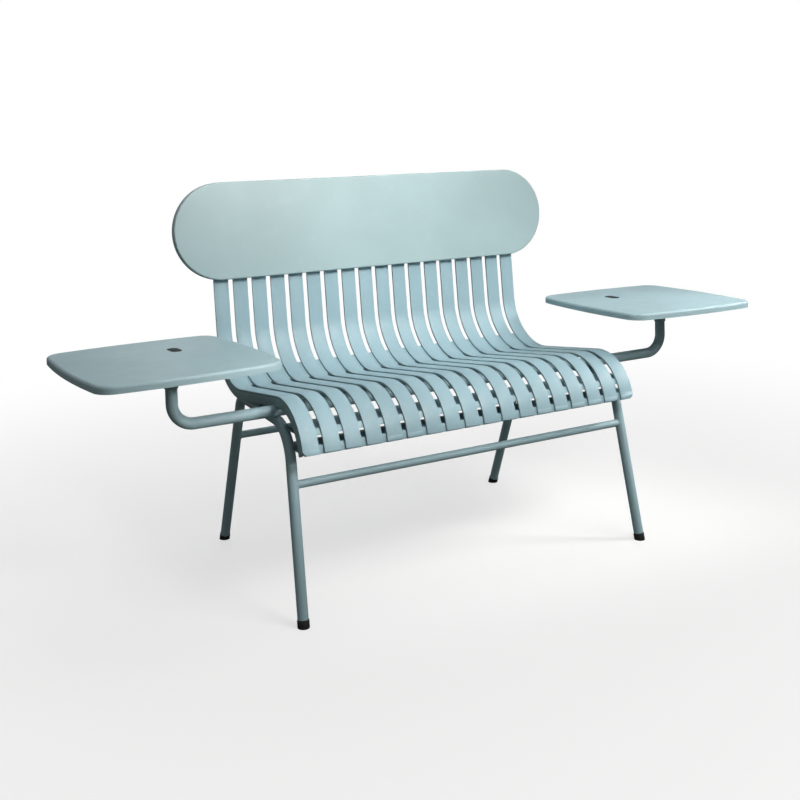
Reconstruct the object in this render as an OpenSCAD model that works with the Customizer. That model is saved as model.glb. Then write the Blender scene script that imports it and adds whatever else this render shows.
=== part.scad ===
// Outdoor double chair: slatted seat for two, oblong back panel, two side tables.
// Millimetres. X runs along the bench, -Y is the front, +Z is up, the floor is z = 0.
// Pieces are drawn from the seat's front crest (y = 0) and placed round the
// middle of the footprint at the end.

/* [Seat slats] */
// Width of one slat
slat_w = 38; // [34:1:42]
// Distance from one slat to the next
slat_pitch = 51; // [48:0.5:54]
// Thickness of the slat metal
slat_t = 5; // [4:0.5:6]
// Height of the seat's top face at the front crest
seat_h = 468; // [450:1:485]
// Length of the flat part of the seat
seat_flat = 223; // [208:0.5:238]
// Fall of the flat part towards the back, degrees
seat_fall = 6.7; // [5.5:0.05:8]
// Radius of the bend from seat to back, top face
rear_bend_r = 136; // [128:1:144]
// Lean of the back from upright, degrees
back_lean = 5; // [4:0.5:8]
// Radius of the front roll, top face
roll_r = 122; // [116:1:128]
// Sweep of the front roll, degrees
roll_sweep = 83.5; // [80:0.5:86]

/* [Back panel] */
// Height of the oblong panel
panel_h = 245; // [220:1:270]
// Length of the panel beyond the slats, at each end
panel_over = 99.5; // [80:0.5:120]
// Depth of the panel's folded edge
panel_d = 20; // [16:1:24]
// Length of the straight slats that shows under the panel
panel_gap = 123; // [110:0.5:145]

/* [Leg frames] */
// Outer diameter of the leg tube
leg_d = 24; // [22:1:26]
// Wall of the round tubes
tube_wall = 2; // [1.5:0.5:3]
// Drop from the seat's crest to the axis of the frame's top run
frame_drop = 59; // [57:1:62]
// Lean of the front legs, degrees
front_lean = 11.1; // [9.5:0.1:12.5]
// Lean of the rear legs, degrees
rear_lean = 22.5; // [21:0.1:24]
// Outer diameter of the two stretchers
stretcher_d = 18; // [15:1:20]
// Height of the front stretcher
front_stretcher_z = 289; // [240:1:300]
// Height of the rear stretcher
rear_stretcher_z = 301; // [240:1:310]

/* [Side tables] */
// Outer diameter of the tube that carries the tables
arm_d = 26; // [24:1:28]
// Distance of each table's stem from the side of the seat
stem_out = 231.5; // [220:0.5:260]
// Height of the table tops above the seat's crest
table_rise = 101; // [96:1:130]
// Size of a table top along the bench
table_w = 420; // [390:2:430]
// Size of a table top from front to back
table_l = 446; // [420:2:460]
// Thickness of the table's edge
table_t = 17; // [15:1:20]

/* [Hidden] */
$fn = 48;
// Step where a flat bar's bend meets its straight, so that the two never graze each other
seam = 0.02;
// A leg frame's tube is this much slimmer in its bends, and its straights narrow into them
squash = 0.1;
taper_in = 0.5;
taper_len = 3;

// Slats, front lip and side ribs
slat_count = 18;
seat_w = slat_pitch * (slat_count - 1) + slat_w;
slat_tuck = 22;
slat_back = panel_gap + panel_h - slat_tuck;
bend_sweep = 90 + seat_fall - back_lean;
roll_end = 12;
rib_t = 6;
rib_d = 20;
rib_x = seat_w / 2 - rib_t;
rib_rise = 66;
bend_y = seat_flat * cos(seat_fall) + rear_bend_r * sin(seat_fall);
bend_z = seat_h - seat_flat * sin(seat_fall) + rear_bend_r * cos(seat_fall);

// The slats' lower ends lean by this much, and their inner bottom corner is here
lip_lean = 90 - roll_sweep + seat_fall;
lip_y = -roll_r * sin(seat_fall) - roll_end * sin(lip_lean) - (roll_r - slat_t) * cos(lip_lean);
lip_z = seat_h - roll_r * cos(seat_fall) - roll_end * cos(lip_lean) + (roll_r - slat_t) * sin(lip_lean);

// Leg frames, drawn in a plane of their own that toes in and tilts in
leg_r = leg_d / 2;
frame_top = seat_h - frame_drop;
frame_x = seat_w / 2 + 2.5;
frame_toe = 4.12;
frame_tilt = 1.24;
front_bend_r = 92;
back_bend_r = 40;
front_knee = -55.5;
rear_knee = bend_y + 57;
front_foot = front_knee - frame_top * tan(front_lean);
rear_foot = rear_knee + frame_top * tan(rear_lean);
front_tangent = front_bend_r * tan((90 - front_lean) / 2);
rear_tangent = back_bend_r * tan((90 - rear_lean) / 2);
run_from = front_knee + front_tangent;
run_len = rear_knee - rear_tangent - run_from;
front_leg_len = frame_top / cos(front_lean) - front_tangent;
rear_leg_len = frame_top / cos(rear_lean) - rear_tangent;
cap_d = leg_d + 2.5;
cap_h = 16;
cap_plug = 18;

// Half the depth of a cap on the floor, and the middle of the footprint
function cap_reach(lean) = cap_d / 2 / (cos(lean) * cos(frame_tilt));
foot_y = ((front_foot + rear_foot) * cos(frame_toe)
          + cap_reach(rear_lean) - cap_reach(front_lean)) / 2;

// Rails under the seat and behind it, let in to the leg frames by a small cope
rail_wall = 2;
cope = 2.5;
mid_rail_w = 30;
mid_rail_at = 110;
mid_rail_low = (frame_drop - leg_r - mid_rail_at * sin(seat_fall)) / cos(seat_fall) + cope;
weld_gap = 0.2;
front_rail_h = 18;
front_rail_in = 4;
front_rail_up = lip_z + front_rail_h / 2 - (frame_top - front_bend_r);
front_rail_l = run_from - sqrt(pow(front_bend_r + leg_r, 2) - pow(front_rail_up, 2)) + front_rail_in - lip_y;
beam_back = -32;
beam_low = seat_h - 68;
beam_h = 13;

// Rear rail: deep enough to reach the bends of the leg frames
rear_rail_turn = 33;
rear_rail_w = 64;
rear_rail_a = rear_rail_turn - seat_fall - 90;
rear_rail_u = [cos(rear_rail_a), sin(rear_rail_a)];
rear_rail_v = [-rear_rail_u[1], rear_rail_u[0]];
rear_elbow = [rear_knee - rear_tangent, frame_top - back_bend_r];
rear_rail_p = [bend_y, bend_z] + (rear_bend_r + slat_t) * rear_rail_u
              - rear_rail_w / 2 * rear_rail_v - rear_elbow;
rear_rail_b = rear_rail_p * rear_rail_u;
rear_rail_d = -rear_rail_b - sqrt(pow(rear_rail_b, 2) - rear_rail_p * rear_rail_p
                                  + pow(back_bend_r + leg_r - cope, 2));

// Back panel, its rails and bolts
panel_wall = 2;
panel_r = panel_h / 2;
panel_mid = panel_gap + panel_r;
panel_straight = seat_w + 2 * panel_over - panel_h;
panel_rail_h = 30;
panel_rail_up = panel_r / 3;
bolt_slats = [1, 5, 9, 10, 14, 18];
bolt_d = 6;
bolt_hole_d = 6.4;
bolt_head_d = 12;
bolt_head_h = 3.5;
bolt_reach = 8;

// Table tube, sockets and tops
arm_r = arm_d / 2;
arm_y = 18;
arm_z = frame_top + leg_r + arm_r - cope;
arm_bend_r = 48;
stem_x = seat_w / 2 + stem_out;
table_h = seat_h + table_rise;
table_y = 81;
table_x = stem_x;
table_turn = -2.5;
table_wall = 2;
table_side_r = 1600;
table_corner_r = 42;
// How far the centres of the bowed sides lie behind the middle, and where the corners' centres are
side_cx = table_side_r - table_w / 2;
side_cy = table_side_r - table_l / 2;
side_span = norm([side_cx, side_cy]);
corner_h = sqrt(pow(table_side_r - table_corner_r, 2) - side_span * side_span / 4) / side_span;
corner_c = [corner_h * side_cy - side_cx / 2, corner_h * side_cx - side_cy / 2];
plate_size = 140;
plate_t = 8;
flange_d = 110;
flange_t = 4;
socket_d = arm_d + 4;
socket_len = 40;
flange_z = table_h - table_wall - plate_t - flange_t;
screw_circle = 40;
screw_d = 5;
screw_hole_d = 5.4;
screw_head_d = 10;
screw_head_h = 3;
inlay_w = 26;
inlay_l = 50;
inlay_t = 1;
inlay_x = -55;
inlay_y = 69;

// Helpers

// Puts a drawing made in (y, z) on edge, so that its height runs along X
module side_view() {
    rotate([90, 0, 90])
        children();
}

// A piece for one side of the bench: s = 1 right, s = -1 left
module on_side(s) {
    mirror([s < 0 ? 1 : 0, 0, 0])
        children();
}

// Stands a piece in the part's own frame
module placed() {
    translate([0, -foot_y, 0])
        children();
}

// The seat's own frame: x along the seat to the rear, y out of its face, z along X
module seat_frame(x0) {
    side_view()
        translate([0, seat_h, x0])
            rotate([0, 0, -seat_fall])
                children();
}

// The same frame turned with the bend from seat to back, about the bend's centre
module bend_frame(turn) {
    translate([seat_flat, rear_bend_r])
        rotate(turn)
            children();
}

// The same frame turned with the front roll, about the roll's centre
module roll_frame(turn) {
    translate([0, -roll_r])
        rotate(turn)
            children();
}

module half_plane(side) {
    size = 600;
    translate([side > 0 ? 0 : -size, -size / 2])
        square(size);
}

// Bands of the seat's side view, between depths d0 and d1 under the top face
module flat_band(d0, d1, from = 0, to = seat_flat) {
    translate([from, -d1])
        square([to - from, d1 - d0]);
}

module bend_band(d0, d1, turn) {
    difference() {
        bend_frame(0)
            circle(rear_bend_r + d1 - seam, $fn = 180);
        bend_frame(0)
            circle(rear_bend_r + d0 + seam, $fn = 180);
        bend_frame(0)
            half_plane(-1);
        bend_frame(turn)
            half_plane(1);
    }
}

module back_band(d0, d1, length) {
    bend_frame(bend_sweep)
        translate([0, -rear_bend_r - d1])
            square([length, d1 - d0]);
}

module roll_band(d0, d1, from = 0) {
    difference() {
        roll_frame(0)
            circle(roll_r - d0 - seam, $fn = 180);
        roll_frame(0)
            circle(roll_r - d1 + seam, $fn = 180);
        roll_frame(from)
            half_plane(1);
        roll_frame(roll_sweep)
            half_plane(-1);
    }
}

module lip_band(d0, d1, from, to) {
    roll_frame(roll_sweep)
        translate([-to, roll_r - d1])
            square([to - from, d1 - d0]);
}

// Seat

function slat_x(i) = (i - (slat_count + 1) / 2) * slat_pitch;

module slat(i) {
    color("#9fbac2")
        difference() {
            seat_frame(slat_x(i) - slat_w / 2)
                linear_extrude(slat_w) {
                    back_band(0, slat_t, slat_back);
                    bend_band(0, slat_t, bend_sweep);
                    flat_band(0, slat_t);
                    roll_band(0, slat_t);
                    lip_band(0, slat_t, 0, roll_end);
                }
            if (len(search(i, bolt_slats)) > 0)
                bolt_holes(i);
        }
}

// Side rib under the end slat, from the lower back round to the front lip
module rib() {
    d0 = slat_t;
    d1 = slat_t + rib_d;
    color("#8aa6ae")
        difference() {
            seat_frame(rib_x)
                linear_extrude(rib_t) {
                    bend_band(d0, d1, rib_rise);
                    flat_band(d0, d1);
                    roll_band(d0, d1);
                    lip_band(d0, d1, 0, roll_end);
                }
            arm_run(arm_r, stem_x);
            frame_solid(leg_r);
        }
}

// Point of the front rail's section, s to the rear and t up from the slats' inner bottom corner
function rail_point(s, t) =
    [-roll_end, roll_r - slat_t] + s * [sin(lip_lean), -cos(lip_lean)] + t * [cos(lip_lean), sin(lip_lean)];

module front_rail_section(w) {
    slope = tan(lip_lean);
    gap = weld_gap + w / cos(lip_lean);
    top = front_rail_h - w;
    roll_frame(roll_sweep)
        polygon([rail_point(w * slope + gap, w), rail_point(front_rail_l - w, w),
                 rail_point(front_rail_l - w, top), rail_point(top * slope + gap, top)]);
}

// Level tube from the slats' lower ends back to the front legs
module front_rail() {
    color("#8aa6ae")
        difference() {
            seat_frame(-rib_x)
                linear_extrude(2 * rib_x)
                    difference() {
                        front_rail_section(0);
                        front_rail_section(rail_wall);
                    }
            for (s = [-1, 1])
                on_side(s) {
                    front_leg(leg_r);
                    front_bend(leg_r);
                }
        }
}

// Flat tube under the seat, seated on both leg frames
module mid_rail() {
    from = mid_rail_at - mid_rail_w / 2;
    to = mid_rail_at + mid_rail_w / 2;
    color("#8aa6ae")
        difference() {
            seat_frame(-rib_x)
                linear_extrude(2 * rib_x)
                    difference() {
                        flat_band(slat_t, mid_rail_low, from, to);
                        flat_band(slat_t + rail_wall, mid_rail_low - rail_wall,
                                  from + rail_wall, to - rail_wall);
                    }
            for (s = [-1, 1])
                on_side(s)
                    frame_run(leg_r);
        }
}

// Tube behind the bend of the slats, seated on the rear bends of the leg frames
module rear_rail() {
    outer = rear_bend_r + slat_t;
    color("#8aa6ae")
        difference() {
            seat_frame(-rib_x)
                linear_extrude(2 * rib_x)
                    difference() {
                        rear_rail_box(outer - 2, outer + rear_rail_d, rear_rail_w);
                        rear_rail_box(outer + rail_wall, outer + rear_rail_d - rail_wall,
                                      rear_rail_w - 2 * rail_wall);
                        bend_frame(0)
                            circle(outer, $fn = 180);
                    }
            for (s = [-1, 1])
                on_side(s)
                    rear_bend(leg_r);
        }
}

module rear_rail_box(r0, r1, w) {
    bend_frame(rear_rail_turn)
        translate([-w / 2, -r1])
            square([w, r1 - r0]);
}

// Flat tube from behind the slats' front roll to the bends of the leg frames
module front_beam() {
    w = rail_wall;
    top = beam_low + beam_h;
    color("#8aa6ae")
        difference() {
            beam_solid(slat_t, beam_low, top, beam_back);
            beam_solid(slat_t + w, beam_low + w, top - w, beam_back - w);
            for (s = [-1, 1])
                on_side(s) {
                    front_leg(leg_r);
                    front_bend(leg_r);
                    frame_run(leg_r);
                }
        }
}

// Level slab between two heights, from a depth inside the front roll to y1
module beam_solid(d, z0, z1, y1) {
    intersection() {
        translate([-rib_x, -roll_r, z0])
            cube([2 * rib_x, roll_r + y1, z1 - z0]);
        seat_frame(-rib_x)
            linear_extrude(2 * rib_x)
                roll_frame(0)
                    circle(roll_r - d, $fn = 180);
    }
}

// Back panel

// Puts a drawing in the plane of the back: x up the back, y to the front, z along X
module on_back() {
    seat_frame(0)
        bend_frame(bend_sweep)
            translate([0, -rear_bend_r, 0])
                children();
}

module oblong(r, y0, y1) {
    translate([panel_mid, y1, 0])
        rotate([90, 0, 0])
            linear_extrude(y1 - y0)
                union() {
                    translate([-r, -panel_straight / 2])
                        square([2 * r, panel_straight]);
                    for (s = [-1, 1])
                        translate([0, s * panel_straight / 2])
                            circle(r, $fn = 96);
                }
}

module back_panel() {
    color("#b4cdd1")
        on_back()
            difference() {
                oblong(panel_r, 0, panel_d);
                oblong(panel_r - panel_wall, -1, panel_d - panel_wall);
            }
}

module panel_rail(up) {
    d = panel_d - panel_wall;
    color("#8aa6ae")
        difference() {
            on_back()
                translate([panel_mid + up - panel_rail_h / 2, 0, -seat_w / 2])
                    difference() {
                        cube([panel_rail_h, d, seat_w]);
                        translate([rail_wall, rail_wall, -1])
                            cube([panel_rail_h - 2 * rail_wall, d - 2 * rail_wall, seat_w + 2]);
                    }
            for (i = bolt_slats)
                bolt_holes(i);
        }
}

module at_bolts(i) {
    on_back()
        for (s = [-1, 1])
            translate([panel_mid + s * panel_rail_up, 0, slat_x(i)])
                rotate([90, 0, 0])
                    children();
}

module bolt_holes(i) {
    at_bolts(i)
        translate([0, 0, -rail_wall - 0.5])
            cylinder(d = bolt_hole_d, h = slat_t + rail_wall + 1);
}

module panel_bolts() {
    color("#7d979e")
        for (i = bolt_slats)
            at_bolts(i) {
                translate([0, 0, slat_t])
                    cylinder(d = bolt_head_d, h = bolt_head_h);
                translate([0, 0, -bolt_reach])
                    cylinder(d = bolt_d, h = slat_t + bolt_reach);
            }
}

// Leg frames

module frame_plane() {
    translate([frame_x, 0, 0])
        rotate([0, 0, frame_toe])
            rotate([0, -frame_tilt, 0])
                children();
}

// Frame at the front end of the level top run: x to the rear, y up, z out
module run_frame() {
    frame_plane()
        side_view()
            translate([run_from, frame_top, 0])
                children();
}

// Round bend below the origin, through an angle, from the run down to a leg
module elbow(bend_r, r, turn) {
    reach = 2 * (bend_r + r);
    translate([0, -bend_r, 0])
        difference() {
            rotate_extrude()
                translate([bend_r, 0])
                    circle(r);
            translate([0, -reach, -reach])
                cube([reach, 2 * reach, 2 * reach]);
            rotate([0, 0, turn])
                translate([-reach, -reach, -reach])
                    cube([reach, 2 * reach, 2 * reach]);
        }
}

// Frame at the top of the front leg: x up the leg, y to the front
module front_leg_frame() {
    run_frame()
        translate([0, -front_bend_r, 0])
            rotate([0, 0, 90 - front_lean])
                translate([0, front_bend_r, 0])
                    children();
}

// Frame at the top of the rear leg, turned the other way round
module rear_leg_frame() {
    run_frame()
        translate([run_len, 0, 0])
            mirror([1, 0, 0])
                translate([0, -back_bend_r, 0])
                    rotate([0, 0, 90 - rear_lean])
                        translate([0, back_bend_r, 0])
                            children();
}

// Straight of a leg frame along z, narrowed before its start, and past its end if both
module straight(r, length, both) {
    end = both ? length + taper_len : length;
    end_r = both ? r - taper_in : r;
    rotate_extrude()
        polygon([[0, -taper_len], [r - taper_in, -taper_len], [r, 0], [r, length], [end_r, end], [0, end]]);
}

module leg(r, length) {
    rotate([0, -90, 0])
        straight(r, length, false);
}

module front_leg(r) {
    front_leg_frame()
        leg(r, front_leg_len - cap_h);
}

module rear_leg(r) {
    rear_leg_frame()
        leg(r, rear_leg_len - cap_h);
}

module front_bend(r) {
    run_frame()
        elbow(front_bend_r, r - squash, 90 - front_lean);
}

module rear_bend(r) {
    run_frame()
        translate([run_len, 0, 0])
            mirror([1, 0, 0])
                elbow(back_bend_r, r - squash, 90 - rear_lean);
}

module frame_run(r) {
    run_frame()
        rotate([0, 90, 0])
            straight(r, run_len, true);
}

module frame_solid(r) {
    front_leg(r);
    front_bend(r);
    frame_run(r);
    rear_bend(r);
    rear_leg(r);
}

module leg_frame(s) {
    color("#a3bdc4")
        on_side(s)
            difference() {
                frame_solid(leg_r);
                frame_solid(leg_r - tube_wall);
                arm_run(arm_r, stem_x);
            }
}

// Where the axis of a leg is at a height z, as [x, y]
function leg_axis(foot, lean, z) =
    let (h = z / cos(frame_tilt), y = foot + h * tan(lean), x = -h * sin(frame_tilt))
    [frame_x + x * cos(frame_toe) - y * sin(frame_toe), x * sin(frame_toe) + y * cos(frame_toe)];

module stretcher(y, z, reach) {
    translate([-reach, y, z])
        rotate([0, 90, 0])
            difference() {
                cylinder(d = stretcher_d, h = 2 * reach);
                translate([0, 0, -1])
                    cylinder(d = stretcher_d - 2 * tube_wall, h = 2 * reach + 2);
            }
}

module front_stretcher() {
    p = leg_axis(front_foot, front_lean, front_stretcher_z);
    color("#a3bdc4")
        difference() {
            stretcher(p[1], front_stretcher_z, p[0]);
            for (s = [-1, 1])
                on_side(s)
                    front_leg(leg_r);
        }
}

module rear_stretcher() {
    p = leg_axis(rear_foot, -rear_lean, rear_stretcher_z);
    color("#a3bdc4")
        difference() {
            stretcher(p[1], rear_stretcher_z, p[0]);
            for (s = [-1, 1])
                on_side(s)
                    rear_leg(leg_r);
        }
}

// Foot cap: a plug in the tube and a shoe cut level with the floor
module cap(length) {
    translate([-length, 0, 0])
        rotate([0, 90, 0]) {
            translate([0, 0, -cap_h])
                cylinder(d = cap_d, h = 2 * cap_h);
            cylinder(r = leg_r - tube_wall, h = cap_h + cap_plug);
        }
}

module foot_cap(s, front) {
    color("#1c1e1f")
        on_side(s)
            difference() {
                if (front)
                    front_leg_frame()
                        cap(front_leg_len);
                else
                    rear_leg_frame()
                        cap(rear_leg_len);
                translate([0, front_foot - 100, -60])
                    cube([seat_w, rear_foot - front_foot + 200, 60]);
            }
}

// Side tables

// Straight part of the table tube, as a solid rod that reaches x on both sides
module arm_run(r, x) {
    translate([-x, arm_y, arm_z])
        rotate([0, 90, 0])
            cylinder(r = r, h = 2 * x);
}

module arm_solid(r) {
    top = flange_z - arm_z - arm_bend_r;
    arm_run(r, stem_x - arm_bend_r);
    for (s = [-1, 1])
        on_side(s) {
            translate([stem_x - arm_bend_r, arm_y, arm_z + arm_bend_r])
                rotate([90, 0, 0])
                    rotate([0, 0, -90])
                        rotate_extrude(angle = 90)
                            translate([arm_bend_r, 0])
                                circle(r);
            translate([stem_x, arm_y, arm_z + arm_bend_r])
                cylinder(r = r, h = top);
        }
}

module table_tube() {
    color("#a3bdc4")
        difference() {
            arm_solid(arm_r);
            arm_solid(arm_r - tube_wall);
        }
}

module at_screws() {
    for (a = [45 : 90 : 315])
        translate([stem_x + screw_circle * cos(a), arm_y + screw_circle * sin(a), flange_z])
            children();
}

// Round flange and the sleeve that slips over the stem
module table_socket(s) {
    color("#8aa6ae")
        on_side(s)
            difference() {
                union() {
                    translate([stem_x, arm_y, flange_z])
                        cylinder(d = flange_d, h = flange_t);
                    translate([stem_x, arm_y, flange_z - socket_len])
                        cylinder(d = socket_d, h = socket_len);
                }
                translate([stem_x, arm_y, flange_z - socket_len - 1])
                    cylinder(r = arm_r, h = socket_len + 1);
                at_screws()
                    translate([0, 0, -1])
                        cylinder(d = screw_hole_d, h = flange_t + 2);
            }
}

// Backing plate welded under the table's sheet
module table_plate(s) {
    color("#8aa6ae")
        on_side(s)
            difference() {
                translate([stem_x - plate_size / 2, arm_y - plate_size / 2, flange_z + flange_t])
                    cube([plate_size, plate_size, plate_t]);
                at_screws()
                    translate([0, 0, flange_t - 1])
                        cylinder(d = screw_d, h = plate_t);
            }
}

module table_screws() {
    color("#70757a")
        for (s = [-1, 1])
            on_side(s)
                at_screws() {
                    translate([0, 0, -screw_head_h])
                        cylinder(d = screw_head_d, h = screw_head_h);
                    cylinder(d = screw_d, h = flange_t + plate_t - 1);
                }
}

// Frame of a table top: its middle, turned, with its top face at z = 0
module table_frame() {
    translate([table_x, table_y, table_h])
        rotate([0, 0, table_turn])
            children();
}

module corners() {
    for (sx = [0, 1], sy = [0, 1])
        mirror([sx, 0])
            mirror([0, sy])
                children();
}

// Outline of a table: four slightly bowed sides and four round corners
module table_outline(grow) {
    bow = table_side_r + grow;
    difference() {
        intersection() {
            translate([-side_cx, 0])
                circle(bow, $fn = 360);
            translate([side_cx, 0])
                circle(bow, $fn = 360);
            translate([0, -side_cy])
                circle(bow, $fn = 360);
            translate([0, side_cy])
                circle(bow, $fn = 360);
        }
        corners()
            difference() {
                corner_wedge();
                translate(corner_c)
                    circle(table_corner_r + grow + seam, $fn = 64);
            }
    }
}

// Space between the ends of two bowed sides, outside a corner's centre
module corner_wedge() {
    reach = (table_side_r + 12) / (table_side_r - table_corner_r);
    a = [corner_c[0] + side_cx, corner_c[1]] * reach - [side_cx, 0];
    b = [corner_c[0], corner_c[1] + side_cy] * reach - [0, side_cy];
    polygon([corner_c, a, [table_w / 2 + 30, table_l / 2 + 30], b]);
}

module oblong_inlay(t) {
    gap = (inlay_l - inlay_w) / 2;
    translate([inlay_x, inlay_y, -t])
        linear_extrude(t)
            union() {
                translate([-inlay_w / 2, -gap])
                    square([inlay_w, 2 * gap]);
                for (s = [-1, 1])
                    translate([0, s * gap])
                        circle(d = inlay_w);
            }
}

module table_top(s) {
    color("#a3bdc4")
        on_side(s)
            table_frame()
                difference() {
                    translate([0, 0, -table_t])
                        linear_extrude(table_t)
                            table_outline(0);
                    translate([0, 0, -table_t - 1])
                        linear_extrude(table_t + 1 - table_wall)
                            table_outline(-table_wall);
                    oblong_inlay(inlay_t);
                }
}

module table_inlay(s) {
    color("#3a4245")
        on_side(s)
            table_frame()
                oblong_inlay(inlay_t);
}

// The nodes

placed() slat(1);  // slat_01
placed() slat(2);  // slat_02
placed() slat(3);  // slat_03
placed() slat(4);  // slat_04
placed() slat(5);  // slat_05
placed() slat(6);  // slat_06
placed() slat(7);  // slat_07
placed() slat(8);  // slat_08
placed() slat(9);  // slat_09
placed() slat(10);  // slat_10
placed() slat(11);  // slat_11
placed() slat(12);  // slat_12
placed() slat(13);  // slat_13
placed() slat(14);  // slat_14
placed() slat(15);  // slat_15
placed() slat(16);  // slat_16
placed() slat(17);  // slat_17
placed() slat(18);  // slat_18
placed() back_panel();
placed() panel_rail(-panel_rail_up);  // panel_rail_lower
placed() panel_rail(panel_rail_up);  // panel_rail_upper
placed() panel_bolts();
placed() front_rail();
placed() mid_rail();
placed() rear_rail();
placed() front_beam();
placed() on_side(-1) rib();  // left_rib
placed() on_side(1) rib();  // right_rib
placed() leg_frame(-1);  // left_leg_frame
placed() leg_frame(1);  // right_leg_frame
placed() front_stretcher();
placed() rear_stretcher();
placed() foot_cap(-1, true);  // front_left_foot_cap
placed() foot_cap(1, true);  // front_right_foot_cap
placed() foot_cap(-1, false);  // rear_left_foot_cap
placed() foot_cap(1, false);  // rear_right_foot_cap
placed() table_tube();
placed() table_socket(-1);  // left_table_socket
placed() table_socket(1);  // right_table_socket
placed() table_plate(-1);  // left_table_plate
placed() table_plate(1);  // right_table_plate
placed() table_top(-1);  // left_table_top
placed() table_top(1);  // right_table_top
placed() table_inlay(-1);  // left_table_inlay
placed() table_inlay(1);  // right_table_inlay
placed() table_screws();
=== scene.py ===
"""Visual model of the outdoor double chair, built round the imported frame.

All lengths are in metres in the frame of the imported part: X along the bench, -Y to the front,
Z up, and the floor at z = 0.
"""
from __future__ import annotations

import logging
import math
from dataclasses import dataclass, field
from enum import Enum
from typing import Sequence

import bmesh
import bpy
from mathutils import Matrix, Vector

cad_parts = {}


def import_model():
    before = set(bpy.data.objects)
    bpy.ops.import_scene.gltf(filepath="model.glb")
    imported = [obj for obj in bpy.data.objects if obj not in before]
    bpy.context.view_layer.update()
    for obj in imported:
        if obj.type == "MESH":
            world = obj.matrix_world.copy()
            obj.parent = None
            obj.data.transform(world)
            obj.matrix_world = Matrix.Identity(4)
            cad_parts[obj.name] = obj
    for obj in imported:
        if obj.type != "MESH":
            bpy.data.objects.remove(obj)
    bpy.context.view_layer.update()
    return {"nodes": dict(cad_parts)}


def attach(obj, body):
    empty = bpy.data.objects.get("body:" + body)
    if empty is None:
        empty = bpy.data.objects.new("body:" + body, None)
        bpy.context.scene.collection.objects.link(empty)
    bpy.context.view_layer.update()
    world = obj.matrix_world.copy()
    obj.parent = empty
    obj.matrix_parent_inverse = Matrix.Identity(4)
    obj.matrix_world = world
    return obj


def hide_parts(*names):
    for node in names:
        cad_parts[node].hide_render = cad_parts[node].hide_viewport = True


LOG = logging.getLogger("double_chair")

# The part's frame lies this far behind the seat's front crest
CREST_TO_FRAME = 0.164003

# Points closer than this are one point, in a drawn mesh and in a packed one
SAME_POINT = 0.00001
SAME_PACKED_POINT = 0.00002

Node = bpy.types.Node
Socket = bpy.types.NodeSocket
Material = bpy.types.Material
Mesh = bmesh.types.BMesh
Piece = bpy.types.Object
Nodes = dict[str, Piece]
Triple = tuple[float, float, float]
Colour = Triple

# Display curve: a straight part below the knee and a power above it
CURVE_KNEE = 0.04045
CURVE_SLOPE = 12.92
CURVE_OFFSET = 0.055
CURVE_POWER = 2.4

WHITE = (1.0, 1.0, 1.0, 1.0)
WARM_WHITE: Colour = (1.0, 0.98, 0.95)


def painted(red: int, green: int, blue: int) -> Colour:
    """Turn a display colour into scene-linear values.

    Args:
        red: Display red, 0 to 255.
        green: Display green, 0 to 255.
        blue: Display blue, 0 to 255.

    Returns:
        The linear red, green and blue, 0 to 1.
    """
    def linear(value: int) -> float:
        """Turn one part of the colour linear."""
        part = value / 255
        if part <= CURVE_KNEE:
            return part / CURVE_SLOPE
        return ((part + CURVE_OFFSET) / (1 + CURVE_OFFSET)) ** CURVE_POWER

    return linear(red), linear(green), linear(blue)


def toned(colour: Colour, factor: float, lift: float = 0.0) -> Colour:
    """Make a darker or paler colour from another one.

    Args:
        colour: The colour to start from.
        factor: Number that each part is multiplied by.
        lift: Amount that is then added to each part.

    Returns:
        The new colour, with no part above 1.
    """
    return tuple(min(1.0, value * factor + lift) for value in colour)


class Side(Enum):
    """Which half of the bench a piece belongs to, as seen from the front."""

    LEFT = -1
    RIGHT = 1

    @property
    def word(self) -> str:
        """Name of the side as the nodes use it."""
        return self.name.lower()


class Slot(Enum):
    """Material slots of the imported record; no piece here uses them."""

    PANEL = "panel"
    FRAME = "frame"
    TABLES = "tables"
    INLAY = "inlay"
    FASTENERS = "fasteners"


# Finishes


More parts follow.
